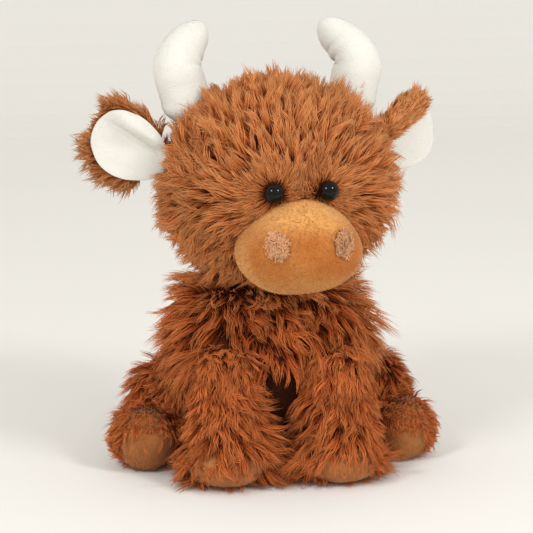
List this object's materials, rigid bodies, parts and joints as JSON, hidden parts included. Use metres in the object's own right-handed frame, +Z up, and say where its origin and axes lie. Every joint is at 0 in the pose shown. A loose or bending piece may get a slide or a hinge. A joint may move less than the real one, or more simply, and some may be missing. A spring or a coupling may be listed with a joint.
{
  "type": "plush cow",
  "caption": "Seated plush cow: a round furry head on a stuffed neck, a bean-shaped muzzle, upright horns, lined ears and floppy legs with padded soles.",
  "frame": {"origin": "middle of the seat, on the plane that the toy sits on", "axes": "+Z up, along the sitting body; -Y the way that the body faces; +X the toy's left"},
  "size_m": [0.1759, 0.1496, 0.2189],
  "materials": {
    "fur": "long clumped pile, ginger brown",
    "muzzle_plush": "short velvety pile, tan",
    "hoof_plush": "short velvety pile, tan",
    "cream_plush": "short velvety pile, cream white",
    "nostril_thread": "fuzzy stitched thread, pale taupe",
    "eye_gloss": "polished black",
    "washer_plastic": "moulded, unpainted",
    "fibre": "loose polyester fibre",
    "bean_cloth": "plain woven bag of pellets"
  },
  "bodies": {
    "torso": {"body_skin": "fur", "body_stuffing": "fibre", "bean_bag": "bean_cloth"},
    "neck": {"neck_stuffing": "fibre"},
    "head": {"head_skin": "fur", "head_stuffing": "fibre", "muzzle_skin": "muzzle_plush", "muzzle_stuffing": "fibre", "nostril_left": "nostril_thread", "nostril_right": "nostril_thread", "eye_left": "eye_gloss", "eye_right": "eye_gloss", "eye_washer_left": "washer_plastic", "eye_washer_right": "washer_plastic"},
    "tail": {"tail": "fur"},
    "horn_left": {"horn_left_skin": "cream_plush", "horn_left_stuffing": "fibre"},
    "ear_left": {"ear_left_back": "fur", "ear_left_lining": "cream_plush"},
    "front_leg_left": {"front_leg_left_skin": "fur", "front_leg_left_stuffing": "fibre", "front_hoof_left": "hoof_plush"},
    "hind_leg_left": {"hind_leg_left_skin": "fur", "hind_leg_left_stuffing": "fibre", "hind_hoof_left": "hoof_plush"},
    "horn_right": {"horn_right_skin": "cream_plush", "horn_right_stuffing": "fibre"},
    "ear_right": {"ear_right_back": "fur", "ear_right_lining": "cream_plush"},
    "front_leg_right": {"front_leg_right_skin": "fur", "front_leg_right_stuffing": "fibre", "front_hoof_right": "hoof_plush"},
    "hind_leg_right": {"hind_leg_right_skin": "fur", "hind_leg_right_stuffing": "fibre", "hind_hoof_right": "hoof_plush"}
  },
  "joints": [
    {"name": "neck_turn", "type": "hinge", "parent": "torso", "child": "neck", "pos_m": [0, -0.00906, 0.096], "axis": [0, 0, 1], "range_deg": [-25, 25], "stiffness_Nm_per_rad": 0.6},
    {"name": "head_nod", "type": "hinge", "parent": "neck", "child": "head", "pos_m": [0, -0.00906, 0.096], "axis": [0.9945, 0.1045, 0], "range_deg": [-8, 8], "stiffness_Nm_per_rad": 0.9},
    {"name": "horn_left_tilt", "type": "hinge", "parent": "head", "child": "horn_left", "pos_m": [0.04135, -0.00069, 0.17998], "axis": [-0.1045, 0.9945, 0], "range_deg": [-8, 8], "stiffness_Nm_per_rad": 0.03},
    {"name": "ear_left_flap", "type": "hinge", "parent": "head", "child": "ear_left", "pos_m": [0.05614, 0.00087, 0.1545], "axis": [-0.1045, 0.9945, 0], "range_deg": [-10, 16], "stiffness_Nm_per_rad": 0.02},
    {"name": "front_leg_left_swing", "type": "hinge", "parent": "torso", "child": "front_leg_left", "pos_m": [0.027, -0.03961, 0.062], "axis": [-1, 0, 0], "range_deg": [-3, 40], "stiffness_Nm_per_rad": 0.12},
    {"name": "hind_leg_left_splay", "type": "hinge", "parent": "torso", "child": "hind_leg_left", "pos_m": [0.05395, -0.00255, 0.027], "axis": [0, 0, 1], "range_deg": [-4, 25], "stiffness_Nm_per_rad": 0.12},
    {"name": "horn_right_tilt", "type": "hinge", "parent": "head", "child": "horn_right", "pos_m": [-0.04219, -0.00947, 0.17998], "axis": [0.1045, -0.9945, 0], "range_deg": [-8, 8], "stiffness_Nm_per_rad": 0.03},
    {"name": "ear_right_flap", "type": "hinge", "parent": "head", "child": "ear_right", "pos_m": [-0.05697, -0.01102, 0.1545], "axis": [0.1045, -0.9945, 0], "range_deg": [-10, 16], "stiffness_Nm_per_rad": 0.02},
    {"name": "front_leg_right_swing", "type": "hinge", "parent": "torso", "child": "front_leg_right", "pos_m": [-0.027, -0.03961, 0.062], "axis": [-1, 0, 0], "range_deg": [-3, 40], "stiffness_Nm_per_rad": 0.12},
    {"name": "hind_leg_right_splay", "type": "hinge", "parent": "torso", "child": "hind_leg_right", "pos_m": [-0.05395, -0.00255, 0.027], "axis": [0, 0, -1], "range_deg": [-4, 25], "stiffness_Nm_per_rad": 0.12},
    {"name": "tail_swing", "type": "hinge", "parent": "torso", "child": "tail", "pos_m": [0, 0.03739, 0.038], "axis": [0, 1, 0], "range_deg": [-30, 30]}
  ]
}
